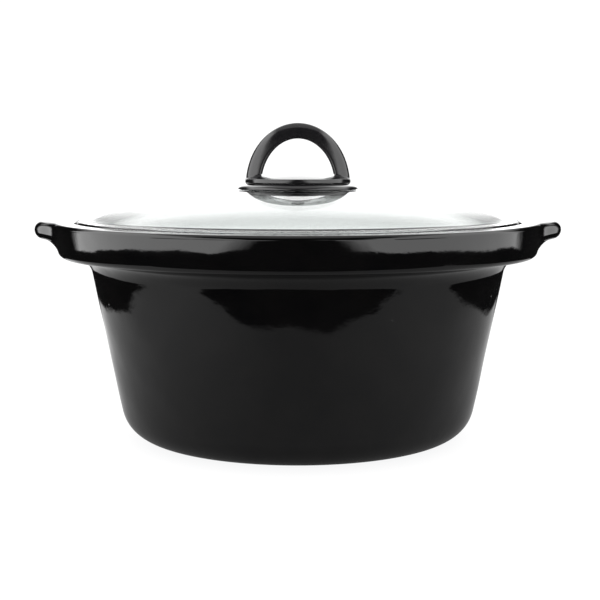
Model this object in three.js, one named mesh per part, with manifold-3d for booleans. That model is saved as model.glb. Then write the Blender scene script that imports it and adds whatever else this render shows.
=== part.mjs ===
// The oval stoneware crock of a slow cooker, with its clear glass lid and a loop knob.
// Millimetres, +Z up. The origin is the middle of the foot, X is the oval's long axis,
// and every piece is symmetric about the XZ and YZ planes, apart from the screw's drive recess.

import * as THREE from "three";
import { mergeVertices } from "three/addons/utils/BufferGeometryUtils.js";
import Module from "manifold-3d";

const wasm = await Module();
wasm.setup();

const PRESS_GAP = 0.3;

// Crock. Reaches are half-lengths along X; the half-width along Y is OVAL_OFFSET less.
const OVAL_OFFSET = 38.6;
const BASE_REACH = 126.4;
const WALL_SLOPE = 0.17;
const WALL_THICKNESS = 8;
const FLOOR_THICKNESS = 9;
const BASE_CORNER_RADIUS = 27;
const BOWL_CORNER_RADIUS = 24;
const FOOT_RECESS_REACH = 92;
const FOOT_RECESS_DEPTH = 1.2;
const NECK_RADIUS = 14;
const FLANGE_UNDERSIDE_Z = 135.8;
const FLANGE_FOOT_REACH = 170;
const FLANGE_TOP_REACH = 171.4;
const FLANGE_LOWER_RADIUS = 4.5;
const FLANGE_FOOT_TILT = 10;
const RIM_RADIUS = 2.4;
const RIM_TOP_Z = 159.2;
const LEDGE_Z = 155;
const LEDGE_OUTER_REACH = 158.6;
const LIP_RADIUS = 1.2;
const BOWL_MOUTH_RADIUS = 3;

// Lugs, one at each end of the crock.
const LUG_REACH = 187.4;
const LUG_TIP_RADIUS = 6;
const LUG_SHOULDER_Y = 9;
const LUG_ROOT_Y = 42;

// Glass lid.
const LID_REACH = 156.6;
const LID_HALF_WIDTH = 118;
const LID_THICKNESS = 4.6;
const LID_SEAT_WIDTH = 8.5;
const LID_CROWN_RISE = 21;
const LID_CROWN_BEND = 0.6;
const LID_BOWL_RISE = 20.1;
const LID_SKIRT_RISE = 3.8;
const LID_SKIRT_POWER = 12;
const LID_HOLE_RADIUS = 5.2;

// Knob.
const DISC_RADIUS = 43;
const DISC_TOP_Z = 185.6;
const DISC_TOP_RADIUS = 37.2;
const DISC_EDGE_RADIUS = 0.8;
const DISC_RECESS_RADIUS = 24;
const DISC_RECESS_DEPTH = 1.8;
const BOSS_RADIUS = 37.6;
const BOSS_EDGE_HEIGHT = 2.8;
const BOSS_CROWN_Z = 193.2;
const LOOP_TOP_Z = 228;
const LOOP_CENTRE_Z = 183.7;
const LOOP_WIDTH = 10.9;
const LOOP_INSET = 0.1;
const LOOP_CORNER_RADIUS = 1.3;
const LOOP_DEPTH_TOP = 13;
const LOOP_DEPTH_FOOT = 18;
const GASKET_RADIUS = 23.6;

// Screw and the pieces it clamps.
const SCREW_RADIUS = 2.5;
const SCREW_HEAD_RADIUS = 5;
const SCREW_HEAD_HEIGHT = 1.6;
const SCREW_SHANK_CLEARANCE = 0.4;
const DRIVE_RADIUS = 1.6;
const DRIVE_DEPTH = 1.2;
const BUSH_RADIUS = 4.8;
const SEALING_WASHER_RADIUS = 11;
const SEALING_WASHER_THICKNESS = 1;
const CLAMP_WASHER_RADIUS = 9;
const CLAMP_WASHER_THICKNESS = 0.8;
const INSERT_RADIUS = 3.9;
const INSERT_LENGTH = 4.6;

const OVAL_SIDES = 76;
const KNOB_SIDES = 48;
const SMALL_SIDES = 24;

const lidSeatZ = LEDGE_Z + PRESS_GAP;
const lidApexZ = lidSeatZ + LID_THICKNESS + lidDomeHeight(0);
const discBottomZ = lidApexZ + PRESS_GAP;
const discCeilingZ = discBottomZ + DISC_RECESS_DEPTH;

// Height of the glass above its seat, 0 being the lid's middle and 1 the foot of the dome: a
// shallow bowl shape that steepens to a skirt at its foot, cut off flat where the knob sits.
function lidDomeHeight(step) {
  const bowl = LID_BOWL_RISE * (1 - Math.pow(step, 2));
  const dome = bowl + LID_SKIRT_RISE * (1 - Math.pow(step, LID_SKIRT_POWER));
  return Math.max(0, (dome + LID_CROWN_RISE - Math.hypot(dome - LID_CROWN_RISE, LID_CROWN_BEND)) / 2);
}

// Points on an arc of a profile, from one angle to another in degrees, both ends kept.
function arc(centre, radius, fromAngle, toAngle, steps) {
  const points = [];
  for (let i = 0; i <= steps; i++) {
    const angle = THREE.MathUtils.degToRad(THREE.MathUtils.lerp(fromAngle, toAngle, i / steps));
    points.push([centre[0] + radius * Math.cos(angle), centre[1] + radius * Math.sin(angle)]);
  }
  return points;
}

// Points on a straight line of a profile, both ends kept.
function line(from, to, steps) {
  const points = [];
  for (let i = 0; i <= steps; i++) {
    points.push([
      THREE.MathUtils.lerp(from[0], to[0], i / steps),
      THREE.MathUtils.lerp(from[1], to[1], i / steps),
    ]);
  }
  return points;
}

// Points on a cubic curve of a profile from its four control points, both ends kept.
function curve(controls, steps) {
  const [start, leaving, arriving, end] = controls.map(([x, y]) => new THREE.Vector2(x, y));
  const points = new THREE.CubicBezierCurve(start, leaving, arriving, end).getPoints(steps);
  return points.map((point) => point.toArray());
}

function signedVolume(positions, index) {
  const a = new THREE.Vector3();
  const b = new THREE.Vector3();
  const c = new THREE.Vector3();
  let sum = 0;
  for (let i = 0; i < index.length; i += 3) {
    a.fromArray(positions, index[i] * 3);
    b.fromArray(positions, index[i + 1] * 3);
    c.fromArray(positions, index[i + 2] * 3);
    sum += a.dot(b.cross(c));
  }
  return sum / 6;
}

// A closed body from rings of equal point counts. Neighbouring rings are joined; a looped list
// joins its last ring to its first, and any other list is closed by a fan on each end ring.
function bodyFromRings(rings, looped) {
  const count = rings[0].length;
  const positions = rings.flat(2);
  const index = [];
  const pairs = looped ? rings.length : rings.length - 1;
  for (let r = 0; r < pairs; r++) {
    const lower = r * count;
    const upper = ((r + 1) % rings.length) * count;
    for (let i = 0; i < count; i++) {
      const next = (i + 1) % count;
      index.push(lower + i, lower + next, upper + next);
      index.push(lower + i, upper + next, upper + i);
    }
  }
  if (!looped) {
    const last = (rings.length - 1) * count;
    const firstHub = positions.length / 3;
    for (const ring of [rings[0], rings[rings.length - 1]]) {
      for (let axis = 0; axis < 3; axis++) {
        positions.push(ring.reduce((sum, point) => sum + point[axis], 0) / count);
      }
    }
    for (let i = 0; i < count; i++) {
      const next = (i + 1) % count;
      index.push(firstHub, next, i);
      index.push(firstHub + 1, last + i, last + next);
    }
  }
  if (signedVolume(positions, index) < 0) {
    index.reverse();
  }
  const geometry = new THREE.BufferGeometry();
  geometry.setAttribute("position", new THREE.Float32BufferAttribute(positions, 3));
  geometry.setIndex(index);
  return geometry;
}

function solidFrom(geometry) {
  const bare = geometry.clone();
  bare.deleteAttribute("normal");
  bare.deleteAttribute("uv");
  const merged = mergeVertices(bare, 1e-4);
  return new wasm.Manifold(
    new wasm.Mesh({
      numProp: 3,
      vertProperties: merged.attributes.position.array,
      triVerts: new Uint32Array(merged.index.array),
    }),
  );
}

function geometryFrom(solid) {
  const mesh = solid.getMesh();
  const geometry = new THREE.BufferGeometry();
  geometry.setAttribute("position", new THREE.BufferAttribute(new Float32Array(mesh.vertProperties), 3));
  geometry.setIndex(new THREE.BufferAttribute(new Uint32Array(mesh.triVerts), 1));
  return geometry;
}

// A turned piece about the Z axis; the profile is [radius, z] from axis to axis or closed on itself.
function turned(profile, sides) {
  const points = profile.map(([radius, z]) => new THREE.Vector2(radius, z));
  const geometry = new THREE.LatheGeometry(points, sides);
  geometry.rotateX(Math.PI / 2);
  return geometry;
}

function turnedRing(innerRadius, outerRadius, bottomZ, topZ, sides) {
  return turned(
    [
      [innerRadius, bottomZ],
      [outerRadius, bottomZ],
      [outerRadius, topZ],
      [innerRadius, topZ],
      [innerRadius, bottomZ],
    ],
    sides,
  );
}

function named(name, geometry, colour, roughness, metalness) {
  geometry.computeVertexNormals();
  const material = new THREE.MeshStandardMaterial({ color: colour, roughness, metalness, flatShading: true });
  const mesh = new THREE.Mesh(geometry, material);
  mesh.name = name;
  return mesh;
}

// Angles round the oval, closer together at the two ends, where the lugs are.
function ovalAngles() {
  const crowding = 0.42;
  const angles = [];
  for (let i = 0; i < OVAL_SIDES; i++) {
    const even = (2 * Math.PI * i) / OVAL_SIDES;
    angles.push(even - (crowding / 2) * Math.sin(2 * even));
  }
  return angles;
}

// How much of the lug stands out at a distance from the XZ plane: 1 at its middle, 0 past its root.
function lugShare(y) {
  return 1 - THREE.MathUtils.smoothstep(Math.abs(y), LUG_SHOULDER_Y, LUG_ROOT_Y);
}

// The flange's outer side as two profiles of equal length, without and with a lug. The plain side
// is upright at the rim and leans in towards its foot; a lug's top is level with the rim.
function flangeSide() {
  const cornerCentre = [FLANGE_FOOT_REACH - FLANGE_LOWER_RADIUS, FLANGE_UNDERSIDE_Z + FLANGE_LOWER_RADIUS];
  const corner = arc(cornerCentre, FLANGE_LOWER_RADIUS, -90, -FLANGE_FOOT_TILT, 3);
  const foot = corner[corner.length - 1];
  const rimCentre = [FLANGE_TOP_REACH - RIM_RADIUS, RIM_TOP_Z - RIM_RADIUS];
  const third = (rimCentre[1] - foot[1]) / 3;
  const lean = Math.tan(THREE.MathUtils.degToRad(FLANGE_FOOT_TILT));
  const side = [
    foot,
    [foot[0] + third * lean, foot[1] + third],
    [FLANGE_TOP_REACH, rimCentre[1] - third],
    [FLANGE_TOP_REACH, rimCentre[1]],
  ];
  const plain = [...corner, ...curve(side, 10).slice(1), ...arc(rimCentre, RIM_RADIUS, 0, 90, 3).slice(1)];
  const tip = [LUG_REACH - LUG_TIP_RADIUS, RIM_TOP_Z - LUG_TIP_RADIUS];
  const undersideZ = tip[1] - LUG_TIP_RADIUS;
  const hollow = [
    [FLANGE_FOOT_REACH + 1.6, foot[1] + 1.5],
    [FLANGE_FOOT_REACH + 4, foot[1] + 3.5],
    [FLANGE_FOOT_REACH + 7.2, foot[1] + 5.9],
    [tip[0], undersideZ],
  ];
  const top = [
    [FLANGE_TOP_REACH + 6, RIM_TOP_Z],
    [FLANGE_TOP_REACH + 2, RIM_TOP_Z],
    [rimCentre[0], RIM_TOP_Z],
  ];
  const lugged = [...corner, ...hollow, ...arc(tip, LUG_TIP_RADIUS, -90, 90, 6).slice(1), ...top];
  return { plain, lugged };
}

// Where an arc tangent to a level and to the sloping wall has its centre.
function wallTangentReach(wallReach, z, side) {
  return wallReach + WALL_SLOPE * z + side * Math.hypot(1, WALL_SLOPE);
}

function crockGeometry() {
  const slopeAngle = THREE.MathUtils.radToDeg(Math.atan(WALL_SLOPE));
  const boreReach = BASE_REACH - WALL_THICKNESS * Math.hypot(1, WALL_SLOPE);
  const baseCentre = [
    wallTangentReach(BASE_REACH, BASE_CORNER_RADIUS, -BASE_CORNER_RADIUS),
    BASE_CORNER_RADIUS,
  ];
  const neckZ = FLANGE_UNDERSIDE_Z - NECK_RADIUS;
  const neckCentre = [wallTangentReach(BASE_REACH, neckZ, NECK_RADIUS), neckZ];
  const mouthZ = LEDGE_Z - BOWL_MOUTH_RADIUS;
  const mouthCentre = [wallTangentReach(boreReach, mouthZ, BOWL_MOUTH_RADIUS), mouthZ];
  const bowlZ = FLOOR_THICKNESS + BOWL_CORNER_RADIUS;
  const bowlCentre = [wallTangentReach(boreReach, bowlZ, -BOWL_CORNER_RADIUS), bowlZ];
  const lipCentre = [LEDGE_OUTER_REACH + LIP_RADIUS, RIM_TOP_Z - LIP_RADIUS];

  const below = [
    [FOOT_RECESS_REACH, FOOT_RECESS_DEPTH],
    [FOOT_RECESS_REACH + FOOT_RECESS_DEPTH, 0],
    ...arc(baseCentre, BASE_CORNER_RADIUS, -90, -slopeAngle, 6),
    ...arc(neckCentre, NECK_RADIUS, 180 - slopeAngle, 90, 6),
  ];
  const above = [
    ...arc(lipCentre, LIP_RADIUS, 90, 180, 2),
    [LEDGE_OUTER_REACH, LEDGE_Z],
    ...arc(mouthCentre, BOWL_MOUTH_RADIUS, 90, 180 - slopeAngle, 2),
    ...arc(bowlCentre, BOWL_CORNER_RADIUS, -slopeAngle, -90, 6),
  ];
  const { plain, lugged } = flangeSide();
  const angles = ovalAngles();
  const ringAt = ([reach, z], [lugReach, lugZ]) =>
    angles.map((angle) => {
      const y = (reach - OVAL_OFFSET) * Math.sin(angle);
      const share = lugShare(y);
      const x = reach * Math.cos(angle) + Math.sign(Math.cos(angle)) * share * (lugReach - reach);
      return [x, y, THREE.MathUtils.lerp(z, lugZ, share)];
    });
  const rings = [
    ...below.map((point) => ringAt(point, point)),
    ...plain.map((point, i) => ringAt(point, lugged[i])),
    ...above.map((point) => ringAt(point, point)),
  ];
  return bodyFromRings(rings, false);
}

// The lid's glass: a flat seat round the edge, a dome inside it and a round hole on top.
function lidGlassGeometry() {
  const half = LID_THICKNESS / 2;
  const edgeZ = lidSeatZ + half;
  const seatShare = 1 - LID_SEAT_WIDTH / (LID_REACH - LID_HOLE_RADIUS);
  const domeSteps = [1, 0.975, 0.94, 0.88, 0.79, 0.68, 0.56, 0.45, 0.39, 0.33, 0];
  const domeZ = (step) => edgeZ + lidDomeHeight(step);
  const edge = arc([LID_REACH - half, edgeZ], half, -90, 90, 4);
  const edgeRings = edge.map(([reach, z]) => [(reach - LID_HOLE_RADIUS) / (LID_REACH - LID_HOLE_RADIUS), z]);
  const profile = [
    ...domeSteps.toReversed().map((step) => [step * seatShare, domeZ(step) - half]),
    ...edgeRings,
    ...domeSteps.map((step) => [step * seatShare, domeZ(step) + half]),
  ];
  const rings = profile.map(([share, z]) =>
    ovalAngles().map((angle) => [
      THREE.MathUtils.lerp(LID_HOLE_RADIUS, LID_REACH, share) * Math.cos(angle),
      THREE.MathUtils.lerp(LID_HOLE_RADIUS, LID_HALF_WIDTH, share) * Math.sin(angle),
      z,
    ]),
  );
  return bodyFromRings(rings, true);
}

// The disc is flat on top with a sloping shoulder, and has a round recess for the gasket below.
function knobDiscGeometry() {
  const boreRadius = SCREW_RADIUS + SCREW_SHANK_CLEARANCE;
  const edgeCentre = [DISC_RADIUS - DISC_EDGE_RADIUS, discBottomZ + DISC_EDGE_RADIUS];
  const shoulder = [
    [DISC_RADIUS, edgeCentre[1]],
    [DISC_RADIUS, edgeCentre[1] + 1.9],
    [DISC_TOP_RADIUS + 2.6, DISC_TOP_Z - 0.9],
    [DISC_TOP_RADIUS, DISC_TOP_Z],
  ];
  return turned(
    [
      [boreRadius, discCeilingZ],
      [DISC_RECESS_RADIUS, discCeilingZ],
      [DISC_RECESS_RADIUS, discBottomZ],
      ...arc(edgeCentre, DISC_EDGE_RADIUS, -90, 0, 3),
      ...curve(shoulder, 7).slice(1),
      [boreRadius, DISC_TOP_Z],
      [boreRadius, discCeilingZ],
    ],
    KNOB_SIDES,
  );
}

// One section of the loop as [outward, depth]: a flat inner side with rounded corners, and a
// half-oval outer side.
function loopSection(depth) {
  const half = depth / 2;
  const corner = LOOP_CORNER_RADIUS;
  const ovalSteps = 12;
  const section = arc([corner, corner - half], corner, 180, 270, 3);
  for (let i = 1; i < ovalSteps; i++) {
    const turn = (Math.PI * i) / ovalSteps;
    section.push([corner + (LOOP_WIDTH - corner) * Math.sin(turn), -half * Math.cos(turn)]);
  }
  return [...section, ...arc([corner, half - corner], corner, 90, 180, 3)];
}

// The loop's rings run over the arch from foot to foot; each foot ends inside the boss.
function loopArchGeometry() {
  const spanRadius = BOSS_RADIUS - LOOP_INSET - LOOP_WIDTH;
  const riseRadius = LOOP_TOP_Z - LOOP_WIDTH - LOOP_CENTRE_Z;
  const footAngle = 5;
  const steps = 26;
  const rings = [];
  for (let i = 0; i <= steps; i++) {
    const angle = THREE.MathUtils.degToRad(THREE.MathUtils.lerp(footAngle, 180 - footAngle, i / steps));
    const inner = [spanRadius * Math.cos(angle), LOOP_CENTRE_Z + riseRadius * Math.sin(angle)];
    const outward = new THREE.Vector2(Math.cos(angle) / spanRadius, Math.sin(angle) / riseRadius).normalize();
    const depth = THREE.MathUtils.lerp(LOOP_DEPTH_FOOT, LOOP_DEPTH_TOP, Math.pow(Math.sin(angle), 0.6));
    rings.push(
      loopSection(depth).map(([out, y]) => [inner[0] + outward.x * out, y, inner[1] + outward.y * out]),
    );
  }
  return bodyFromRings(rings, false);
}

function knobBossGeometry() {
  const bottomZ = DISC_TOP_Z + PRESS_GAP;
  const edgeTopZ = bottomZ + BOSS_EDGE_HEIGHT;
  const crownSteps = 6;
  const crown = [];
  for (let i = 1; i <= crownSteps; i++) {
    const share = 1 - i / crownSteps;
    crown.push([BOSS_RADIUS * share, THREE.MathUtils.lerp(edgeTopZ, BOSS_CROWN_Z, 1 - share * share)]);
  }
  return turned(
    [
      [0, bottomZ],
      [BOSS_RADIUS - 0.5, bottomZ],
      [BOSS_RADIUS, bottomZ + 0.5],
      [BOSS_RADIUS, edgeTopZ],
      ...crown,
    ],
    KNOB_SIDES,
  );
}

function knobLoopGeometry() {
  const bottomZ = DISC_TOP_Z + PRESS_GAP;
  const pocketRadius = INSERT_RADIUS + PRESS_GAP;
  const pocketTopZ = bottomZ + INSERT_LENGTH + PRESS_GAP;
  const pocket = turned(
    [
      [0, bottomZ - 1],
      [pocketRadius, bottomZ - 1],
      [pocketRadius, pocketTopZ],
      [0, pocketTopZ],
    ],
    SMALL_SIDES,
  );
  const joined = solidFrom(knobBossGeometry()).add(solidFrom(loopArchGeometry()));
  return geometryFrom(joined.subtract(solidFrom(pocket)));
}

// A round-headed screw, driven from inside the lid through a hexagonal recess.
function screwGeometry(headTopZ, tipZ) {
  const headBottomZ = headTopZ - SCREW_HEAD_HEIGHT;
  const body = turned(
    [
      [0, headBottomZ],
      [SCREW_HEAD_RADIUS * 0.62, headBottomZ],
      [SCREW_HEAD_RADIUS * 0.9, headBottomZ + SCREW_HEAD_HEIGHT * 0.3],
      [SCREW_HEAD_RADIUS, headBottomZ + SCREW_HEAD_HEIGHT * 0.7],
      [SCREW_HEAD_RADIUS, headTopZ],
      [SCREW_RADIUS, headTopZ],
      [SCREW_RADIUS, tipZ - 0.6],
      [SCREW_RADIUS - 0.6, tipZ],
      [0, tipZ],
    ],
    SMALL_SIDES,
  );
  const drive = new THREE.CylinderGeometry(DRIVE_RADIUS, DRIVE_RADIUS, 2 * DRIVE_DEPTH, 6);
  drive.rotateX(Math.PI / 2);
  drive.translate(0, 0, headBottomZ);
  return geometryFrom(solidFrom(body).subtract(solidFrom(drive)));
}

const glassBottomZ = lidApexZ - LID_THICKNESS;
const shankHole = SCREW_RADIUS + SCREW_SHANK_CLEARANCE;
const sealTopZ = glassBottomZ - PRESS_GAP;
const sealBottomZ = sealTopZ - SEALING_WASHER_THICKNESS;
const clampTopZ = sealBottomZ - PRESS_GAP;
const clampBottomZ = clampTopZ - CLAMP_WASHER_THICKNESS;
const gasketBottomZ = lidApexZ + PRESS_GAP;
const gasketTopZ = discCeilingZ - PRESS_GAP;
const insertBottomZ = DISC_TOP_Z + PRESS_GAP;
const insertTopZ = insertBottomZ + INSERT_LENGTH;

const crock = new THREE.Group();
crock.add(named("stoneware_crock", crockGeometry(), 0x0b0b0c, 0.08, 0));

const knob = new THREE.Group();
knob.add(
  named("knob_loop", knobLoopGeometry(), 0x101013, 0.14, 0),
  named("knob_disc", knobDiscGeometry(), 0x101013, 0.14, 0),
  named(
    "knob_gasket",
    turnedRing(shankHole, GASKET_RADIUS, gasketBottomZ, gasketTopZ, KNOB_SIDES),
    0xe9e9e4,
    0.5,
    0,
  ),
);

const fixing = new THREE.Group();
fixing.add(
  named(
    "hole_bush",
    turnedRing(shankHole, BUSH_RADIUS, glassBottomZ, lidApexZ, SMALL_SIDES),
    0xe9e9e4,
    0.5,
    0,
  ),
  named(
    "sealing_washer",
    turnedRing(shankHole, SEALING_WASHER_RADIUS, sealBottomZ, sealTopZ, SMALL_SIDES),
    0xe9e9e4,
    0.5,
    0,
  ),
  named(
    "clamp_washer",
    turnedRing(shankHole, CLAMP_WASHER_RADIUS, clampBottomZ, clampTopZ, SMALL_SIDES),
    0xb8babd,
    0.25,
    1,
  ),
  named(
    "knob_screw",
    screwGeometry(clampBottomZ - PRESS_GAP, insertTopZ - PRESS_GAP),
    0xb8babd,
    0.25,
    1,
  ),
  named(
    "threaded_insert",
    turnedRing(shankHole, INSERT_RADIUS, insertBottomZ, insertTopZ, SMALL_SIDES),
    0xc9a24a,
    0.3,
    1,
  ),
);

const lid = new THREE.Group();
lid.add(named("lid_glass", lidGlassGeometry(), 0xdfe8e6, 0.03, 0), knob, fixing);

const slowCookerCrock = new THREE.Group();
slowCookerCrock.add(crock, lid);

export default slowCookerCrock;
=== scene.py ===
import math

import bpy
import numpy as np
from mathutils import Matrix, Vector


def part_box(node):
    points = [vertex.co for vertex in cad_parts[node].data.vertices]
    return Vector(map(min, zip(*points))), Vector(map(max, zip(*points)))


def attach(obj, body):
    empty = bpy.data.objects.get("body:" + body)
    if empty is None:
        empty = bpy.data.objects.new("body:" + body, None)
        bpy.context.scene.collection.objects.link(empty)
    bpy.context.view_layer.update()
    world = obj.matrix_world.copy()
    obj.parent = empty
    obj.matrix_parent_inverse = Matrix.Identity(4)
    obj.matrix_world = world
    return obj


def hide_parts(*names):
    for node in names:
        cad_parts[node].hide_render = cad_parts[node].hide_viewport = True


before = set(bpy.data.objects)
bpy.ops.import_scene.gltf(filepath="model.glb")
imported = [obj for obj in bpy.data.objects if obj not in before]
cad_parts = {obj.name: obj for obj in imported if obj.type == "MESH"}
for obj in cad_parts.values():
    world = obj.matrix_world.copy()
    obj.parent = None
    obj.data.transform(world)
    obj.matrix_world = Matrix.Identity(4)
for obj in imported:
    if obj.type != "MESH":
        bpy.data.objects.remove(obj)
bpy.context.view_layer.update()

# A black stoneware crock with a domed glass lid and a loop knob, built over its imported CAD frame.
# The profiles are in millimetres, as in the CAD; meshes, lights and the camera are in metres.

MM = 0.001
GAP = 0.3  # between faces that touch in the real thing


def top_of(node):
    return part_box(node)[1].z / MM


def bottom_of(node):
    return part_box(node)[0].z / MM


def reach_of(node):
    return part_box(node)[1].x / MM


# Crock. Reaches are half-lengths along X; the half-width along Y is OVAL_OFFSET less.
OVAL_OFFSET = 38.6
BASE_REACH = 126.4
WALL_SLOPE = 0.17
WALL_THICKNESS = 8.0
FLOOR_THICKNESS = 9.0
BASE_CORNER_RADIUS = 27.0
BOWL_CORNER_RADIUS = 24.0
FOOT_RECESS_REACH = 92.0
FOOT_RECESS_DEPTH = 1.2
FOOT_RECESS_BEND = 0.6
NECK_RADIUS = 14.0
FLANGE_UNDERSIDE_Z = 135.8
FLANGE_FOOT_REACH = 170.0
FLANGE_TOP_REACH = 171.4
FLANGE_LOWER_RADIUS = 4.5
FLANGE_FOOT_TILT = 10.0
RIM_RADIUS = 2.4
RIM_ARC_STEPS = 12
RIM_TOP_Z = top_of("stoneware_crock")
LEDGE_Z = bottom_of("lid_glass") - GAP
LEDGE_OUTER_REACH = 158.6
LEDGE_CORNER_RADIUS = 1.2
LIP_RADIUS = 1.2
BOWL_MOUTH_RADIUS = 3.0
LUG_REACH = reach_of("stoneware_crock")
LUG_TIP_RADIUS = 6.0
LUG_SHOULDER_Y = 9.0
LUG_ROOT_Y = 42.0
LUG_HOLLOW_START = 2.2
LUG_HOLLOW_END = 5.8
GLAZE_WAVE = 0.07
OVAL_BUNCHING = 0.21

# Lid.
LID_REACH = reach_of("lid_glass")
LID_HALF_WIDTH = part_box("lid_glass")[1].y / MM
LID_THICKNESS = 4.6
LID_SEAT_WIDTH = 8.5
LID_CROWN_RISE = 21.0
LID_CROWN_BEND = 0.6
LID_BOWL_RISE = 20.1
LID_SKIRT_RISE = 3.8
LID_SKIRT_POWER = 12
LID_HOLE_RADIUS = 5.2
LID_HOLE_EDGE = 0.7
LID_SEAT_Z = bottom_of("lid_glass")
LID_APEX_Z = top_of("lid_glass")
LID_BEND = 0.8

# Knob.
DISC_RADIUS = reach_of("knob_disc")
DISC_BOTTOM_Z = bottom_of("knob_disc")
DISC_TOP_Z = top_of("knob_disc")
DISC_TOP_RADIUS = 37.2
DISC_EDGE_RADIUS = 0.8
DISC_RECESS_RADIUS = 24.0
DISC_RECESS_DEPTH = 1.8
DISC_CEILING_Z = DISC_BOTTOM_Z + DISC_RECESS_DEPTH
BOSS_RADIUS = reach_of("knob_loop")
BOSS_BOTTOM_Z = bottom_of("knob_loop")
BOSS_EDGE_HEIGHT = 2.8
BOSS_CROWN_Z = 193.2
LOOP_TOP_Z = top_of("knob_loop")
LOOP_CENTRE_Z = 183.7
LOOP_WIDTH = 10.9
LOOP_INSET = 0.1
LOOP_CORNER_RADIUS = 1.3
LOOP_DEPTH_TOP = 13.0
LOOP_DEPTH_FOOT = 18.0
LOOP_DEPTH_POWER = 0.6
LOOP_FILLET = 1.4
LOOP_FOOT_INSET = 0.05
SHANK_HOLE_RADIUS = 2.9
SCREW_RADIUS = 2.5
SCREW_PITCH = 0.8
THREAD_DEPTH = 0.61 * SCREW_PITCH
PLAIN_SHANK = 3.0
DRIVE_RADIUS = 1.6
DRIVE_DEPTH = 1.2
DRIVE_POINT_DEPTH = 1.8
KNURL_LOBES = 40
KNURL_DEPTH = 0.24
KNURL_TURN_HEIGHT = 1.6
INSERT_GROOVE_DEPTH = 0.45

OVAL_SIDES = 384
ROUND_SIDES = 160


def arc(centre, radius, from_angle, to_angle, steps):
    angles = np.radians(np.linspace(from_angle, to_angle, steps + 1))
    return np.column_stack((centre[0] + radius * np.cos(angles), centre[1] + radius * np.sin(angles)))


def line(start, end, steps):
    return np.linspace(start, end, steps + 1)


def bezier(points, steps):
    p0, p1, p2, p3 = (np.array(p, float) for p in points)
    t = np.linspace(0, 1, steps + 1)[:, None]
    return (1 - t) ** 3 * p0 + 3 * t * (1 - t) ** 2 * p1 + 3 * t**2 * (1 - t) * p2 + t**3 * p3


def joined(*parts):
    """One profile from stretches, without the points that neighbouring stretches share."""
    kept = [parts[0]]
    for part in parts[1:]:
        same = np.linalg.norm(part[0] - kept[-1][-1]) < 1e-6
        kept.append(part[1:] if same else part)
    return np.vstack(kept)


def smootherstep(value, low, high):
    t = np.clip((value - low) / (high - low), 0, 1)
    return t**3 * (t * (6 * t - 15) + 10)


def mesh_from_rings(name, rings, looped=False):
    """A closed smooth mesh from an array of rings, [ring][point][xyz], in millimetres."""
    rings = np.asarray(rings, float)
    ring_count, side_count = rings.shape[:2]
    points = rings.reshape(-1, 3)
    ring = np.arange(ring_count if looped else ring_count - 1)[:, None]
    side = np.arange(side_count)[None, :]
    here = ring * side_count
    above = (ring + 1) % ring_count * side_count
    beside = (side + 1) % side_count
    quads = np.stack((here + side, here + beside, above + beside, above + side), axis=-1).reshape(-1, 4)
    faces = quads.tolist()
    if not looped:
        hubs = [rings[0].mean(axis=0), rings[-1].mean(axis=0)]
        first_hub = len(points)
        points = np.vstack((points, hubs))
        last = (ring_count - 1) * side_count
        for i in range(side_count):
            after = (i + 1) % side_count
            faces.append([first_hub, after, i])
            faces.append([first_hub + 1, last + i, last + after])
    mesh = bpy.data.meshes.new(name)
    mesh.from_pydata((points * MM).tolist(), [], faces)
    mesh.validate()
    mesh.shade_smooth()
    if signed_volume(mesh) < 0:
        mesh.flip_normals()
    piece = bpy.data.objects.new(name, mesh)
    bpy.context.scene.collection.objects.link(piece)
    return piece


def signed_volume(mesh):
    total = 0.0
    for polygon in mesh.polygons:
        corners = [mesh.vertices[v].co for v in polygon.vertices]
        for i in range(1, len(corners) - 1):
            total += corners[0].dot(corners[i].cross(corners[i + 1]))
    return total / 6


def turned_rings(profile, sides=ROUND_SIDES):
    """Rings about the Z axis from a profile of radius and height."""
    angles = np.linspace(0, 2 * math.pi, sides, endpoint=False)
    radius = profile[:, 0][:, None]
    height = np.repeat(profile[:, 1][:, None], sides, axis=1)
    return np.stack((radius * np.cos(angles), radius * np.sin(angles), height), axis=-1)


def rounded_ring_profile(inner, outer, bottom, top, radius):
    """The section of a flat ring with rounded edges, as a closed loop."""
    return joined(
        arc((outer - radius, bottom + radius), radius, -90, 0, 6),
        arc((outer - radius, top - radius), radius, 0, 90, 6),
        arc((inner + radius, top - radius), radius, 90, 180, 6),
        arc((inner + radius, bottom + radius), radius, 180, 270, 6),
        line((inner + radius, bottom), (outer - radius, bottom), 8),
    )[:-1]


# ---- Crock


def oval_angles(sides):
    """Angles round the oval, closer together at its two ends, where the lugs are."""
    even = np.linspace(0, 2 * math.pi, sides, endpoint=False)
    return even - OVAL_BUNCHING * np.sin(2 * even)


def wall_tangent_reach(wall_reach, z, side):
    """Reach at height z of a point that is side away from a sloping wall, outside it if positive."""
    return wall_reach + WALL_SLOPE * z + side * math.hypot(1, WALL_SLOPE)


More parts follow.
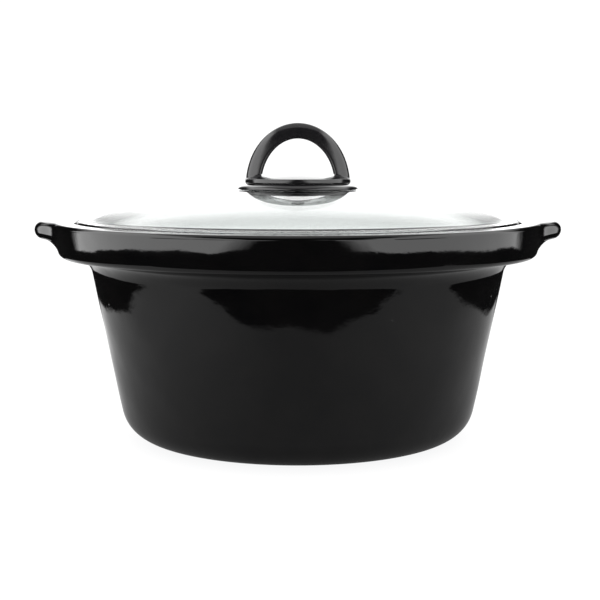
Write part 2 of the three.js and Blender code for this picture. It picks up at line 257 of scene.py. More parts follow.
def crock_lower_profile():
    slope_angle = math.degrees(math.atan(WALL_SLOPE))
    base_centre = (
        wall_tangent_reach(BASE_REACH, BASE_CORNER_RADIUS, -BASE_CORNER_RADIUS),
        BASE_CORNER_RADIUS,
    )
    neck_z = FLANGE_UNDERSIDE_Z - NECK_RADIUS
    neck_centre = (wall_tangent_reach(BASE_REACH, neck_z, NECK_RADIUS), neck_z)
    base_corner = arc(base_centre, BASE_CORNER_RADIUS, -90, -slope_angle, 28)
    neck = arc(neck_centre, NECK_RADIUS, 180 - slope_angle, 90, 26)
    recess_start = (FOOT_RECESS_REACH - 4, FOOT_RECESS_DEPTH)
    recess_end = (FOOT_RECESS_REACH, FOOT_RECESS_DEPTH)
    recess_edge = (FOOT_RECESS_REACH + FOOT_RECESS_DEPTH, 0)
    step_start = (recess_end[0] + FOOT_RECESS_BEND, recess_end[1])
    step_end = (recess_edge[0] - FOOT_RECESS_BEND, 0)
    underside_end = (FLANGE_FOOT_REACH - FLANGE_LOWER_RADIUS, FLANGE_UNDERSIDE_Z)
    return joined(
        line(recess_start, recess_end, 4),
        bezier((recess_end, step_start, step_end, recess_edge), 6),
        line(recess_edge, base_corner[0], 8),
        base_corner,
        line(base_corner[-1], neck[0], 44),
        neck,
        line(neck[-1], underside_end, 8),
    )


def flange_profiles():
    """The flange's outer side twice, without and with a lug, with the same number of points."""
    corner_centre = (FLANGE_FOOT_REACH - FLANGE_LOWER_RADIUS, FLANGE_UNDERSIDE_Z + FLANGE_LOWER_RADIUS)
    corner = arc(corner_centre, FLANGE_LOWER_RADIUS, -90, -FLANGE_FOOT_TILT, 12)
    foot = corner[-1]
    rim_centre = (FLANGE_TOP_REACH - RIM_RADIUS, RIM_TOP_Z - RIM_RADIUS)
    third = (rim_centre[1] - foot[1]) / 3
    lean = math.tan(math.radians(FLANGE_FOOT_TILT))
    upright = (FLANGE_TOP_REACH, rim_centre[1] - third)
    side = (foot, foot + (third * lean, third), upright, (FLANGE_TOP_REACH, rim_centre[1]))
    plain = joined(corner, bezier(side, 56), arc(rim_centre, RIM_RADIUS, 0, 90, RIM_ARC_STEPS))
    tip = (LUG_REACH - LUG_TIP_RADIUS, RIM_TOP_Z - LUG_TIP_RADIUS)
    underside = (tip[0], tip[1] - LUG_TIP_RADIUS)
    lug_corner = arc(corner_centre, FLANGE_LOWER_RADIUS, -90, -45, 12)
    hollow_start = lug_corner[-1] + LUG_HOLLOW_START
    hollow_end = (underside[0] - LUG_HOLLOW_END, underside[1])
    lugged = joined(
        lug_corner,
        bezier((lug_corner[-1], hollow_start, hollow_end, underside), 24),
        arc(tip, LUG_TIP_RADIUS, -90, 90, 32),
        line((tip[0], RIM_TOP_Z), (rim_centre[0], RIM_TOP_Z), RIM_ARC_STEPS),
    )
    return plain, lugged


def crock_inner_profile():
    slope_angle = math.degrees(math.atan(WALL_SLOPE))
    bore_reach = BASE_REACH - WALL_THICKNESS * math.hypot(1, WALL_SLOPE)
    lip_centre = (LEDGE_OUTER_REACH + LIP_RADIUS, RIM_TOP_Z - LIP_RADIUS)
    ledge_centre = (LEDGE_OUTER_REACH - LEDGE_CORNER_RADIUS, LEDGE_Z + LEDGE_CORNER_RADIUS)
    mouth_z = LEDGE_Z - BOWL_MOUTH_RADIUS
    mouth_centre = (wall_tangent_reach(bore_reach, mouth_z, BOWL_MOUTH_RADIUS), mouth_z)
    bowl_z = FLOOR_THICKNESS + BOWL_CORNER_RADIUS
    bowl_centre = (wall_tangent_reach(bore_reach, bowl_z, -BOWL_CORNER_RADIUS), bowl_z)
    lip = arc(lip_centre, LIP_RADIUS, 90, 180, 8)
    ledge_corner = arc(ledge_centre, LEDGE_CORNER_RADIUS, 0, -90, 6)
    mouth = arc(mouth_centre, BOWL_MOUTH_RADIUS, 90, 180 - slope_angle, 10)
    bowl = arc(bowl_centre, BOWL_CORNER_RADIUS, -slope_angle, -90, 24)
    return joined(
        line((FLANGE_TOP_REACH - RIM_RADIUS, RIM_TOP_Z), lip[0], 8),
        lip,
        line(lip[-1], ledge_corner[0], 2),
        ledge_corner,
        line(ledge_corner[-1], mouth[0], 8),
        mouth,
        line(mouth[-1], bowl[0], 40),
        bowl,
        line(bowl[-1], (bowl[-1][0] - 8, FLOOR_THICKNESS), 4),
    )


def shrunk_rings(ring, shares):
    """Copies of a flat ring, drawn in towards its middle."""
    centre = np.array((0, 0, ring[0, 2]))
    return np.stack([centre + (ring - centre) * share for share in shares])


def glaze_wave(rings):
    """Slow hand-made unevenness of the outside, which fades at the foot and stays within the CAD's reach."""
    x, y, z = rings[..., 0], rings[..., 1], rings[..., 2]
    turn = np.arctan2(y, x)
    wave = np.sin(7 * turn + z / 13) + np.sin(11 * turn - z / 9 + 1.3) + 0.7 * np.sin(17 * turn + z / 6 + 4)
    away = smootherstep(z, 4, 30)
    outward = np.stack((np.cos(turn), np.sin(turn), np.zeros_like(turn)), axis=-1)
    waved = rings + outward * (GLAZE_WAVE * wave * away)[..., None]
    limit = np.array((LUG_REACH, FLANGE_TOP_REACH - OVAL_OFFSET, np.inf))
    return np.clip(waved, -limit, limit)


def make_crock():
    angles = oval_angles(OVAL_SIDES)
    lower = crock_lower_profile()
    plain, lugged = flange_profiles()
    inner = crock_inner_profile()
    profile = np.vstack((lower, plain[1:], inner[1:]))
    with_lug = np.vstack((lower, lugged[1:], inner[1:]))
    cosine = np.cos(angles)[None, :]
    y = (profile[:, 0][:, None] - OVAL_OFFSET) * np.sin(angles)[None, :]
    share = 1 - smootherstep(np.abs(y), LUG_SHOULDER_Y, LUG_ROOT_Y)
    stretch = (with_lug - profile)[:, :, None]
    x = profile[:, 0][:, None] * cosine + np.sign(cosine) * share * stretch[:, 0]
    z = profile[:, 1][:, None] + share * stretch[:, 1]
    rings = np.stack((x, y, z), axis=-1)
    outside = len(lower) + len(plain) - RIM_ARC_STEPS - 2
    rings[:outside] = glaze_wave(rings[:outside])
    foot = shrunk_rings(rings[0], (0.1, 0.3, 0.5, 0.7, 0.85, 0.95))
    floor = shrunk_rings(rings[-1], (0.95, 0.85, 0.7, 0.5, 0.3, 0.1))
    return mesh_from_rings("glazed_crock", np.concatenate((foot, rings, floor)))


# ---- Lid


def dome_height(step):
    """Height of the glass above its seat, 0 being the lid's middle and 1 the foot of the dome."""
    bowl = LID_BOWL_RISE * (1 - step**2)
    dome = bowl + LID_SKIRT_RISE * (1 - np.clip(step, 0, 1.2) ** LID_SKIRT_POWER)
    flattened = (dome + LID_CROWN_RISE - np.hypot(dome - LID_CROWN_RISE, LID_CROWN_BEND)) / 2
    return (flattened + np.hypot(flattened, LID_BEND)) / 2


def make_lid_glass():
    half = LID_THICKNESS / 2
    middle_z = LID_SEAT_Z + half
    span = LID_REACH - LID_HOLE_RADIUS
    foot_share = 1 - LID_SEAT_WIDTH / span
    edge_share = 1 - half / span
    hole_round = LID_HOLE_EDGE / span
    skirt_share = foot_share * 0.86
    shares = np.concatenate((
        np.linspace(hole_round, skirt_share, 70),
        np.linspace(skirt_share, edge_share, 48)[1:],
    ))
    surface = middle_z + dome_height(shares / foot_share)
    edge = arc((edge_share, 0), 1, -90, 90, 16)[1:-1]
    edge_shares = edge_share + (edge[:, 0] - edge_share) * half / span
    edge_z = surface[-1] + edge[:, 1] * half
    hole = arc((0, 0), 1, 90, 270, 10)[1:-1]
    hole_shares = hole_round * (1 + hole[:, 0])
    hole_z = surface[0] + np.sign(hole[:, 1]) * (half - LID_HOLE_EDGE) + hole[:, 1] * LID_HOLE_EDGE
    share = np.concatenate((shares, edge_shares, shares[::-1], hole_shares))
    height = np.concatenate((surface - half, edge_z, surface[::-1] + half, hole_z))
    height = np.minimum(height, LID_APEX_Z)
    angles = oval_angles(OVAL_SIDES)
    reach = LID_HOLE_RADIUS + span * share[:, None]
    width = LID_HOLE_RADIUS + (LID_HALF_WIDTH - LID_HOLE_RADIUS) * share[:, None]
    z = np.repeat(height[:, None], OVAL_SIDES, axis=1)
    rings = np.stack((reach * np.cos(angles), width * np.sin(angles), z), axis=-1)
    return mesh_from_rings("domed_glass", rings, looped=True)


# ---- Knob


def boss_height(radius):
    """Height of the boss's crowned top at a distance from the knob's axis."""
    edge_z = BOSS_BOTTOM_Z + BOSS_EDGE_HEIGHT
    return BOSS_CROWN_Z + (edge_z - BOSS_CROWN_Z) * (radius / BOSS_RADIUS) ** 2


def make_boss():
    edge = 0.5
    foot = 0.5
    shoulder = BOSS_RADIUS - edge
    crown_radii = np.linspace(shoulder, 0.5, 60)
    crown = np.column_stack((crown_radii, boss_height(crown_radii)))
    shoulder_z = boss_height(shoulder)
    profile = joined(
        line((1, BOSS_BOTTOM_Z), (BOSS_RADIUS - foot, BOSS_BOTTOM_Z), 20),
        arc((BOSS_RADIUS - foot, BOSS_BOTTOM_Z + foot), foot, -90, 0, 6),
        arc((shoulder, shoulder_z - edge), edge, 0, 75, 6),
        crown,
    )
    return mesh_from_rings("loop_handle", turned_rings(profile, 240))


def loop_section(depth):
    """One section of the loop, outward and deep: a flat inner side and a half-oval outer side."""
    half = depth / 2
    corner = LOOP_CORNER_RADIUS
    turn = np.linspace(0, math.pi, 57)
    outer = np.column_stack((corner + (LOOP_WIDTH - corner) * np.sin(turn), -half * np.cos(turn)))
    return joined(
        arc((corner, corner - half), corner, 180, 270, 8),
        outer,
        arc((corner, half - corner), corner, 90, 180, 8),
        line((0, half - corner), (0, corner - half), 10),
    )[:-1]


def arch_ring(angle):
    """The loop's section at an angle from the X axis, flared where it comes down to the boss."""
    span = BOSS_RADIUS - LOOP_INSET - LOOP_WIDTH
    rise = LOOP_TOP_Z - LOOP_WIDTH - LOOP_CENTRE_Z
    outward = Vector((math.cos(angle) / span, math.sin(angle) / rise)).normalized()
    depth = LOOP_DEPTH_FOOT + (LOOP_DEPTH_TOP - LOOP_DEPTH_FOOT) * math.sin(angle) ** LOOP_DEPTH_POWER
    out, across = loop_section(depth).T
    ring = np.column_stack((
        span * math.cos(angle) + outward.x * out,
        across,
        LOOP_CENTRE_Z + rise * math.sin(angle) + outward.y * out,
    ))
    plan = ring[:, :2]
    middle = np.array((plan[:, 0].mean(), 0))
    away = plan - middle
    away /= np.linalg.norm(away, axis=1)[:, None]
    above = ring[:, 2] - boss_height(np.linalg.norm(plan, axis=1))
    near = np.clip(1 - above / LOOP_FILLET, 0, 1)
    plan = plan + away * (LOOP_FILLET * (1 - np.sqrt(1 - near**2)))[:, None]
    radius = np.linalg.norm(plan, axis=1)
    plan = plan * np.minimum(1, (BOSS_RADIUS - LOOP_FOOT_INSET) / radius)[:, None]
    return np.column_stack((plan, ring[:, 2]))


def make_arch():
    foot = np.radians(np.linspace(3, 20, 60))
    top = np.radians(np.linspace(20, 160, 130))[1:]
    angles = np.concatenate((foot, top, (math.pi - foot[::-1])[1:]))
    return mesh_from_rings("loop_arch", np.stack([arch_ring(a) for a in angles]))


def make_loop_handle():
    boss = make_boss()
    cut_into(boss, make_arch(), "UNION")
    pocket_radius = reach_of("threaded_insert") + 0.05
    pocket_top = top_of("threaded_insert") + 0.2
    below_boss = BOSS_BOTTOM_Z - 1
    pocket = np.array((
        (0.5, below_boss), (pocket_radius, below_boss),
        (pocket_radius, pocket_top), (0.5, pocket_top),
    ))
    cut_into(boss, mesh_from_rings("insert_pocket", turned_rings(pocket, 96)), "DIFFERENCE")
    return boss


def cut_into(piece, tool, operation):
    """Joins or cuts a piece with a tool mesh, and deletes the tool."""
    modifier = piece.modifiers.new(operation.lower(), "BOOLEAN")
    modifier.operation = operation
    modifier.solver = "EXACT"
    modifier.object = tool
    evaluated = piece.evaluated_get(bpy.context.evaluated_depsgraph_get())
    mesh = bpy.data.meshes.new_from_object(evaluated)
    piece.modifiers.clear()
    piece.data = mesh
    bpy.data.objects.remove(tool)
    mesh.shade_smooth()
    mesh.set_sharp_from_angle(angle=math.radians(38))


def make_disc():
    """Flat on top with a sloping shoulder, and a round recess below for the gasket."""
    edge_centre = (DISC_RADIUS - DISC_EDGE_RADIUS, DISC_BOTTOM_Z + DISC_EDGE_RADIUS)
    shoulder = (
        (DISC_RADIUS, edge_centre[1]),
        (DISC_RADIUS, edge_centre[1] + 1.9),
        (DISC_TOP_RADIUS + 2.6, DISC_TOP_Z - 0.9),
        (DISC_TOP_RADIUS, DISC_TOP_Z),
    )
    recess_edge = 0.3
    bore_edge = 0.4
    bore = SHANK_HOLE_RADIUS + bore_edge
    profile = joined(
        line((bore, DISC_CEILING_Z), (DISC_RECESS_RADIUS, DISC_CEILING_Z), 12),
        arc((DISC_RECESS_RADIUS + recess_edge, DISC_BOTTOM_Z + recess_edge), recess_edge, 180, 270, 5),
        arc(edge_centre, DISC_EDGE_RADIUS, -90, 0, 12),
        bezier(shoulder, 36),
        line((DISC_TOP_RADIUS, DISC_TOP_Z), (bore, DISC_TOP_Z), 20),
        arc((bore, DISC_TOP_Z - bore_edge), bore_edge, 90, 180, 4),
        arc((bore, DISC_CEILING_Z + bore_edge), bore_edge, 180, 270, 4)[:-1],
    )
    return mesh_from_rings("handle_disc", turned_rings(profile, 240), looped=True)


# ---- Screw, washers, bush and insert


def make_flat_ring(name, node, edge_radius):
    """A ring round the screw, as wide and as high as its CAD node."""
    profile = rounded_ring_profile(
        SHANK_HOLE_RADIUS, reach_of(node), bottom_of(node), top_of(node), edge_radius
    )
    return mesh_from_rings(name, turned_rings(profile), looped=True)


def thread_radius(height, turn, starts_at):
    """The shank's radius at a height and an angle, with a thread from starts_at up."""
    phase = np.mod(height / SCREW_PITCH - turn / (2 * math.pi), 1)
    cut = THREAD_DEPTH * (1 - np.abs(2 * phase - 1))
    run_in = smootherstep(height, starts_at, starts_at + SCREW_PITCH)
    return SCREW_RADIUS - cut * run_in


def make_screw():
    bottom = bottom_of("knob_screw")
    top = top_of("knob_screw")
    reach = reach_of("knob_screw")
    head_top = bottom_of("clamp_washer") - GAP
    head_edge = 0.3
    under_head = 0.4
    crown_end = (reach, bottom + 1)
    edge_centre = (reach - head_edge, head_top - head_edge)
    fillet_centre = (SCREW_RADIUS + under_head, head_top + under_head)
    head = joined(
        bezier(((0.5, bottom), (reach * 0.75, bottom), (reach, bottom + 0.4), crown_end), 16),
        line(crown_end, (reach, edge_centre[1]), 3),
        arc(edge_centre, head_edge, 0, 90, 4),
        line((edge_centre[0], head_top), (fillet_centre[0], head_top), 5),
        arc(fillet_centre, under_head, 270, 180, 4),
    )
    shank_top = top - 0.7
    shank_z = np.linspace(fillet_centre[1], shank_top, 240)[1:]
    tip_bend = (SCREW_RADIUS, top - 0.2)
    tip = bezier(((SCREW_RADIUS, shank_top), tip_bend, (SCREW_RADIUS - 0.5, top), (0.5, top)), 8)
    sides = 96
    angles = np.linspace(0, 2 * math.pi, sides, endpoint=False)
    shank_radius = thread_radius(shank_z[:, None], angles[None, :], head_top + PLAIN_SHANK)
    height = np.repeat(shank_z[:, None], sides, axis=1)
    shank = np.stack((shank_radius * np.cos(angles), shank_radius * np.sin(angles), height), axis=-1)
    end = turned_rings(tip, sides)
    narrow = shank_radius[-1] / SCREW_RADIUS
    end[..., 0] *= narrow
    end[..., 1] *= narrow
    rings = np.concatenate((turned_rings(head, sides), shank, end[1:]))
    screw = mesh_from_rings("knob_fixing_screw", rings)
    cut_into(screw, make_drive_cutter(bottom), "DIFFERENCE")
    return screw


def make_drive_cutter(head_bottom):
    """A six-sided drive recess with slightly rounded corners, narrowing to a cone at its end."""
    sides = 72
    angles = np.linspace(0, 2 * math.pi, sides, endpoint=False)
    sector = np.mod(angles, math.pi / 3) - math.pi / 6
    hexagon = DRIVE_RADIUS * np.minimum(math.cos(math.pi / 6) / np.cos(sector), 0.975)
    depth = head_bottom + np.array((-1.0, DRIVE_DEPTH, DRIVE_POINT_DEPTH))[:, None]
    reach = np.array((1.0, 1.0, 0.1))[:, None] * hexagon
    z = np.repeat(depth, sides, axis=1)
    rings = np.stack((reach * np.cos(angles), reach * np.sin(angles), z), axis=-1)
    return mesh_from_rings("drive_cutter", rings)


def make_insert():
    """The brass insert: two knurled bands with a plain groove between them, and a bored middle."""
    bottom = bottom_of("threaded_insert")
    top = top_of("threaded_insert")
    radius = reach_of("threaded_insert")
    edge = 0.3
    chamfer = 0.5
    sides = 240
    angles = np.linspace(0, 2 * math.pi, sides, endpoint=False)
    heights = np.linspace(bottom + edge, top - edge, 60)
    share = (heights - bottom) / (top - bottom)
    groove = smootherstep(np.abs(share - 0.5), 0.06, 0.12)
    slant = 2 * math.pi * (heights[:, None] - bottom) / KNURL_TURN_HEIGHT
    knurl = np.maximum(np.sin(KNURL_LOBES * angles + slant), np.sin(KNURL_LOBES * angles - slant))
    knurled = radius - KNURL_DEPTH * (1 - knurl) / 2
    plain = radius - INSERT_GROOVE_DEPTH
    outer = plain + (knurled - plain) * groove[:, None]
    z = np.repeat(heights[:, None], sides, axis=1)
    wall = np.stack((outer * np.cos(angles), outer * np.sin(angles), z), axis=-1)
    bore = SHANK_HOLE_RADIUS
    lower = np.array(((bore + edge, bottom), (radius - chamfer, bottom)))
    upper = np.array(((radius - chamfer, top), (bore + edge, top), (bore, top - edge), (bore, bottom + edge)))
    rings = np.concatenate((turned_rings(lower, sides), wall, turned_rings(upper, sides)))
    return mesh_from_rings("brass_insert", rings, looped=True)


# ---- Materials


class Nodes:
    """The node tree of a material or the world, with short calls to add and join nodes."""

    def __init__(self, owner):
        owner.use_nodes = True
        self.tree = owner.node_tree

    def add(self, kind, **settings):
        node = self.tree.nodes.new(kind)
        for key, value in settings.items():
            setattr(node, key, value)
        return node

    def join(self, source, target):
        self.tree.links.new(source, target)

    def object_coordinates(self):
        return self.add("ShaderNodeTexCoord").outputs["Object"]

    def noise(self, scale, detail=2.0, roughness=0.5, stretch=(1, 1, 1)):
        mapping = self.add("ShaderNodeMapping")
        mapping.inputs["Scale"].default_value = stretch
        self.join(self.object_coordinates(), mapping.inputs["Vector"])
        node = self.add("ShaderNodeTexNoise")
        node.inputs["Scale"].default_value = scale
        node.inputs["Detail"].default_value = detail
        node.inputs["Roughness"].default_value = roughness
        self.join(mapping.outputs["Vector"], node.inputs["Vector"])
        return node.outputs["Fac"]

    def spread(self, value, low, high, from_low=0.3, from_high=0.7):
        """Maps a value to a range; without from_low and from_high, it takes a noise value."""
        node = self.add("ShaderNodeMapRange")
        node.inputs["From Min"].default_value = from_low
        node.inputs["From Max"].default_value = from_high
        node.inputs["To Min"].default_value = low
        node.inputs["To Max"].default_value = high
        self.join(value, node.inputs["Value"])
        return node.outputs["Result"]

    def rise(self, value, start, end):
        """0 up to start, then rising to 1 at end."""
        return self.spread(value, 0, 1, start, end)

    def fall(self, value, start, end):
        """1 up to start, then falling to 0 at end."""
        return self.spread(value, 1, 0, start, end)

    def axes(self, vector):
        """The X, Y and Z of a vector."""
        separate = self.add("ShaderNodeSeparateXYZ")
        self.join(vector, separate.inputs["Vector"])
        return separate.outputs["X"], separate.outputs["Y"], separate.outputs["Z"]

    def product(self, first, *others):
        for other in others:
            first = self.maths("MULTIPLY", first, other)
        return first

    def maths(self, operation, first, second=None):
        """A calculation with sockets or plain numbers."""
        node = self.add("ShaderNodeMath", operation=operation)
        for value, socket in ((first, node.inputs[0]), (second, node.inputs[1])):
            if isinstance(value, (int, float)):
                socket.default_value = value
            elif value is not None:
                self.join(value, socket)
        return node.outputs["Value"]

    def choose(self, share, first, second):
        """Mixes two values, each a number or a socket."""
        node = self.add("ShaderNodeMix", data_type="FLOAT")
        self.join(share, node.inputs["Factor"])
        for value, socket in ((first, node.inputs["A"]), (second, node.inputs["B"])):
            if isinstance(value, (int, float)):
                socket.default_value = value
            else:
                self.join(value, socket)
        return node.outputs["Result"]

    def blend(self, share, first, second):
        """Mixes two colours, each a tuple or a socket."""
        node = self.add("ShaderNodeMix", data_type="RGBA")
        self.join(share, node.inputs["Factor"])
        for value, socket in ((first, node.inputs["A"]), (second, node.inputs["B"])):
            if isinstance(value, tuple):
                socket.default_value = (*value, 1)
            else:
                self.join(value, socket)
        return node.outputs["Result"]

    def bump(self, height, distance, strength=1.0, under=None):
        node = self.add("ShaderNodeBump")
        node.inputs["Distance"].default_value = distance
        node.inputs["Strength"].default_value = strength
        self.join(height, node.inputs["Height"])
        if under is not None:
            self.join(under, node.inputs["Normal"])
        return node.outputs["Normal"]


def glossy_base(name):
    """A new material with its node tree and its principled shader."""
    material = bpy.data.materials.new(name)
    nodes = Nodes(material)
    return material, nodes, nodes.tree.nodes["Principled BSDF"]


def sparse_spots(nodes, scale, radius, kept):
    """1 in a few small round spots and 0 elsewhere; kept is the share of cells with a spot."""
    cells = nodes.add("ShaderNodeTexVoronoi", feature="F1")
    cells.inputs["Scale"].default_value = scale
    nodes.join(nodes.object_coordinates(), cells.inputs["Vector"])
    spot = nodes.fall(cells.outputs["Distance"], radius * 0.4, radius)
    separate = nodes.add("ShaderNodeSeparateColor")
    nodes.join(cells.outputs["Color"], separate.inputs["Color"])
    chosen = nodes.maths("LESS_THAN", separate.outputs["Red"], kept)
    return nodes.product(spot, chosen)


def glaze_material():
    """Thick black glaze, a little brown where it thins on edges, and bare clay on the foot ring."""
    material, nodes, shader = glossy_base("black_glaze")
    thin = nodes.rise(nodes.add("ShaderNodeNewGeometry").outputs["Pointiness"], 0.52, 0.62)
    mottle = nodes.spread(nodes.noise(45, 5, 0.6), 0, 1)
    deep = nodes.blend(mottle, (0.0006, 0.0006, 0.0007), (0.0012, 0.0011, 0.0011))
    glazed = nodes.blend(thin, deep, (0.03, 0.017, 0.011))
    grain = nodes.spread(nodes.noise(900, 6, 0.7), 0, 1)
    clay = nodes.blend(grain, (0.52, 0.40, 0.28), (0.34, 0.25, 0.17))
    height = nodes.axes(nodes.object_coordinates())[2]
    ragged = nodes.maths("ADD", nodes.product(nodes.noise(160, 3), 0.0012), height)
    bare = nodes.fall(ragged, 0.0019, 0.0023)
    nodes.join(nodes.blend(bare, glazed, clay), shader.inputs["Base Color"])
    gloss = nodes.spread(nodes.noise(30, 4), 0.035, 0.075)
    nodes.join(nodes.choose(bare, gloss, 0.85), shader.inputs["Roughness"])
    shader.inputs["IOR"].default_value = 1.5
    below_rim_top = nodes.spread(height, 1, 0.08, (RIM_TOP_Z - 2.5) * MM, (RIM_TOP_Z - 0.8) * MM)
    flow = nodes.bump(nodes.product(nodes.noise(26, 2), below_rim_top), 0.0011, 0.5)
    peel = nodes.bump(nodes.noise(240, 2), 0.00006, 0.5, flow)
    pits = nodes.bump(sparse_spots(nodes, 70, 0.05, 0.16), 0.0003, 0.7, peel)
    nodes.join(pits, shader.inputs["Normal"])
    return material


def glass_material():
    """Clear tempered glass, with a hint of green and a trace of unevenness."""
    material, nodes, shader = glossy_base("clear_glass")
    shade = nodes.spread(nodes.noise(8, 2), 0, 1)
    nodes.join(nodes.blend(shade, (0.955, 0.985, 0.975), (0.965, 0.99, 0.98)), shader.inputs["Base Color"])
    nodes.join(nodes.spread(nodes.noise(300, 4), 0.0, 0.004), shader.inputs["Roughness"])
    shader.inputs["Transmission Weight"].default_value = 1.0
    shader.inputs["IOR"].default_value = 1.5
    nodes.join(nodes.bump(nodes.noise(6, 0), 0.00008, 0.1), shader.inputs["Normal"])
    return material


def phenolic_material():
    """Moulded black phenolic: polished, with a faint flow ripple and fine wear."""
    material, nodes, shader = glossy_base("black_phenolic")
    shade = nodes.spread(nodes.noise(120, 5, 0.6), 0, 1)
    black = nodes.blend(shade, (0.0035, 0.0035, 0.004), (0.006, 0.0055, 0.006))
    nodes.join(black, shader.inputs["Base Color"])
    nodes.join(nodes.spread(nodes.noise(220, 6, 0.7), 0.09, 0.17), shader.inputs["Roughness"])
    shader.inputs["IOR"].default_value = 1.55
    ripple = nodes.bump(nodes.noise(90, 2), 0.00025, 0.35)
    nodes.join(nodes.bump(nodes.noise(900, 3), 0.00002, 0.4, ripple), shader.inputs["Normal"])
    return material


def silicone_material():
    """Soft white silicone, matt and a little translucent."""
    material, nodes, shader = glossy_base("white_silicone")
    shade = nodes.spread(nodes.noise(200, 4), 0, 1)
    nodes.join(nodes.blend(shade, (0.80, 0.80, 0.77), (0.86, 0.86, 0.84)), shader.inputs["Base Color"])
    nodes.join(nodes.spread(nodes.noise(500, 4), 0.42, 0.56), shader.inputs["Roughness"])
    shader.inputs["IOR"].default_value = 1.41
    shader.inputs["Subsurface Weight"].default_value = 0.15
    shader.inputs["Subsurface Radius"].default_value = (0.003, 0.003, 0.0028)
    nodes.join(nodes.bump(nodes.noise(1400, 3), 0.00003, 0.5), shader.inputs["Normal"])
    return material


def metal_material(name, light, dark, rough_low, rough_high):
    """Turned metal: fine rings from the lathe and a little colour variation."""
    material, nodes, shader = glossy_base(name)
    shade = nodes.spread(nodes.noise(350, 4), 0, 1)
    nodes.join(nodes.blend(shade, light, dark), shader.inputs["Base Color"])
    turned = nodes.noise(900, 5, 0.6, (1, 1, 6))
    nodes.join(nodes.spread(turned, rough_low, rough_high), shader.inputs["Roughness"])
    shader.inputs["Metallic"].default_value = 1.0
    nodes.join(nodes.bump(nodes.noise(1500, 2, 0.5, (1, 1, 5)), 0.00002, 0.5), shader.inputs["Normal"])
    return material


# ---- Studio

PAPER_LIGHT = 1.1
ROOM_LIGHT = 2.6
SOFTBOX_LIGHT = 2.7
WALL_LIGHT = 2.7
CEILING_LIGHT = 0.8
FILL_LIGHT = 0.01
WAIST = 0.14
FLOOR_HALF_SIZE = 6.0
SHADED_PAPER = (0.90, 0.90, 0.905)
SHADE_REACH = 0.03


def make_floor():
    size = FLOOR_HALF_SIZE
    mesh = bpy.data.meshes.new("studio_floor")
    corners = [(-size, -size, 0), (size, -size, 0), (size, size, 0), (-size, size, 0)]
    mesh.from_pydata(corners, [], [(0, 1, 2, 3)])
    floor = bpy.data.objects.new("studio_floor", mesh)
    bpy.context.scene.collection.objects.link(floor)
    floor.data.materials.append(floor_material())


def floor_material():
    """White with a faint contact shade; in reflections, a small grey table and nothing beyond it."""
    material = bpy.data.materials.new("pale_floor")
    nodes = Nodes(material)
    nodes.tree.nodes.remove(nodes.tree.nodes["Principled BSDF"])
    path = nodes.add("ShaderNodeLightPath")
    shade = nodes.add("ShaderNodeAmbientOcclusion", samples=16)
    shade.inputs["Distance"].default_value = SHADE_REACH
    paper = nodes.add("ShaderNodeEmission")
    through_glass = path.outputs["Is Transmission Ray"]
    seen = nodes.maths("MAXIMUM", path.outputs["Is Camera Ray"], through_glass)
    reflected = nodes.choose(through_glass, path.outputs["Is Glossy Ray"], 0.0)
    nodes.join(nodes.choose(seen, ROOM_LIGHT, 1.0), paper.inputs["Strength"])
    white = (PAPER_LIGHT, PAPER_LIGHT, PAPER_LIGHT)
    nodes.join(nodes.blend(shade.outputs["AO"], SHADED_PAPER, white), paper.inputs["Color"])
    table = nodes.add("ShaderNodeEmission")
    on_table, brightness = table_light(nodes)
    shadow = nodes.spread(shade.outputs["AO"], 0.4, 1, 0.2, 0.95)
    nodes.join(nodes.product(brightness, shadow), table.inputs["Strength"])
    nothing = nodes.add("ShaderNodeBsdfTransparent")
    mirrored = mixed_shaders(nodes, on_table, nothing, table)
    surface = mixed_shaders(nodes, reflected, paper, mirrored)
    nodes.join(surface.outputs["Shader"], nodes.tree.nodes["Material Output"].inputs["Surface"])
    return material


def mixed_shaders(nodes, share, first, second):
    mix = nodes.add("ShaderNodeMixShader")
    nodes.join(share, mix.inputs["Fac"])
    nodes.join(first.outputs[0], mix.inputs[1])
    nodes.join(second.outputs[0], mix.inputs[2])
    return mix


def table_light(nodes):
    """Where the mirrored table is, and its brightness: dim in front, brighter aside and behind."""
    x, y, _ = nodes.axes(nodes.object_coordinates())
    aside = nodes.maths("ABSOLUTE", x)
    front_edge = nodes.rise(y, -0.275, -0.265)
    side_edge = nodes.fall(aside, 0.385, 0.40)
    back_edge = nodes.fall(y, 0.34, 0.46)
    on_table = nodes.product(front_edge, side_edge, back_edge)
    brighter_aside = nodes.spread(aside, 0.26, 0.50, 0.03, 0.26)
    brighter_behind = nodes.spread(y, 0, 0.45, -0.1, 0.25)
    level = nodes.maths("ADD", brighter_aside, brighter_behind)
    dimmer_right = nodes.spread(x, 1.08, 0.78, -0.3, 0.3)
    return on_table, nodes.product(level, dimmer_right)


def make_world():
    """Plain white to the camera and through the glass; a lit studio in reflections; a soft white light."""
    world = bpy.data.worlds.new("studio")
    bpy.context.scene.world = world
    nodes = Nodes(world)
    nodes.tree.nodes.clear()
    path = nodes.add("ShaderNodeLightPath")
    plain = nodes.choose(path.outputs["Is Camera Ray"], ROOM_LIGHT, PAPER_LIGHT)
    reflected = nodes.choose(path.outputs["Is Glossy Ray"], plain, studio_light(nodes))
    level = nodes.choose(path.outputs["Is Transmission Ray"], reflected, PAPER_LIGHT)
    light = nodes.add("ShaderNodeBackground")
    light.inputs["Color"].default_value = (1, 1, 1, 1)
    nodes.join(level, light.inputs["Strength"])
    output = nodes.add("ShaderNodeOutputWorld")
    nodes.join(light.outputs["Background"], output.inputs["Surface"])


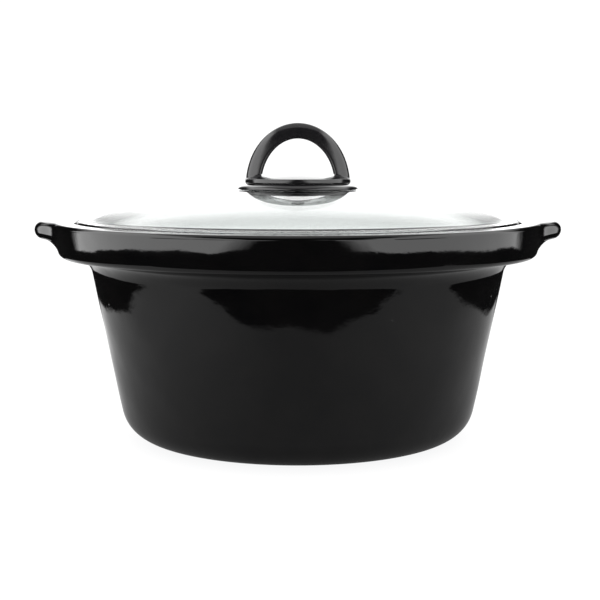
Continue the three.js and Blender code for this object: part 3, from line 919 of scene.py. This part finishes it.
def studio_light(nodes):
    """Brightness by direction: softboxes aside, a white wall behind between black flags, a dim ceiling.

    Turn is the angle round from the front in degrees, 0 to 180 on both sides; height is its sine.
    """
    x, y, height = nodes.axes(nodes.add("ShaderNodeTexCoord").outputs["Generated"])
    round_from_front = nodes.maths("ARCTAN2", x, nodes.product(y, -1.0))
    turn = nodes.maths("DEGREES", nodes.maths("ABSOLUTE", round_from_front))
    above_table = nodes.rise(height, -0.02, 0.03)
    softboxes = softbox_light(nodes, x, turn, height, above_table)
    wall_turn = nodes.spread(turn, 0, WALL_LIGHT, 115, 140)
    wall = nodes.product(wall_turn, nodes.spread(height, 1, 0.25, 0.62, 0.82), above_table)
    ceiling = nodes.spread(height, 0, CEILING_LIGHT, 0.84, 0.90)
    brightest = nodes.maths("MAXIMUM", nodes.maths("MAXIMUM", softboxes, wall), ceiling)
    flag_across = nodes.product(nodes.rise(turn, 108, 117), nodes.fall(turn, 150, 166))
    flag = nodes.product(flag_across, nodes.fall(height, 0.45, 0.60))
    unflagged = nodes.product(brightest, nodes.maths("SUBTRACT", 1.0, flag))
    return nodes.maths("ADD", unflagged, FILL_LIGHT)


def softbox_light(nodes, x, turn, height, above_table):
    """One softbox on each side, the left one brighter, with a dark gap in front that widens up and down."""
    wider_above = nodes.spread(height, 0, 72, WAIST, WAIST + 1)
    wider_below = nodes.spread(height, 41, 0, WAIST - 1, WAIST)
    gap = nodes.maths("ADD", wider_above, wider_below)
    inner = nodes.rise(nodes.maths("SUBTRACT", turn, gap), 3, 18)
    outer = nodes.fall(turn, 110, 140)
    low_end = nodes.maths("MAXIMUM", above_table, nodes.fall(turn, 107, 116))
    lifted_aside = nodes.maths("SUBTRACT", height, nodes.spread(turn, 0, 0.035, 88, 112))
    bottom = nodes.rise(lifted_aside, -0.236, -0.220)
    top = nodes.fall(height, 0.80, 0.90)
    level = nodes.maths("ADD", nodes.product(x, -0.4), SOFTBOX_LIGHT)
    return nodes.product(inner, outer, low_end, bottom, top, level)


def make_camera():
    """The photographer's place: low in front, looking down a little."""
    distance = 0.5762
    height = 0.1977
    aside = 0.0015
    pitch = 0.167
    data = bpy.data.cameras.new("camera")
    data.sensor_width = 36.0
    data.lens = 47.69
    data.clip_start = 0.01
    camera = bpy.data.objects.new("camera", data)
    bpy.context.scene.collection.objects.link(camera)
    camera.location = (aside, -distance, height)
    camera.rotation_euler = (math.pi / 2 - pitch, 0, 0)
    bpy.context.scene.camera = camera


# ---- Assembly


def place(piece, body, node, material):
    piece.data.materials.clear()
    piece.data.materials.append(material)
    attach(piece, body)
    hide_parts(node)


def build():
    glaze = glaze_material()
    glass = glass_material()
    phenolic = phenolic_material()
    silicone = silicone_material()
    steel = metal_material("stainless_steel", (0.66, 0.66, 0.67), (0.58, 0.58, 0.59), 0.18, 0.30)
    brass = metal_material("insert_brass", (0.74, 0.57, 0.27), (0.66, 0.49, 0.22), 0.20, 0.34)

    place(make_crock(), "crock", "stoneware_crock", glaze)
    place(make_lid_glass(), "lid", "lid_glass", glass)
    place(make_loop_handle(), "lid", "knob_loop", phenolic)
    place(make_disc(), "lid", "knob_disc", phenolic)
    for name, node, edge_radius, look, material in (
        ("soft_gasket", "knob_gasket", 0.4, "white_silicone", silicone),
        ("glass_hole_bush", "hole_bush", 0.4, "white_silicone", silicone),
        ("soft_washer", "sealing_washer", 0.5, "white_silicone", silicone),
        ("steel_washer", "clamp_washer", 0.25, "stainless_steel", steel),
    ):
        place(make_flat_ring(name, node, edge_radius), "lid", node, material)
    place(make_screw(), "lid", "knob_screw", steel)
    place(make_insert(), "lid", "threaded_insert", brass)


build()
make_floor()
make_world()
make_camera()
bpy.context.scene.view_settings.view_transform = "Standard"
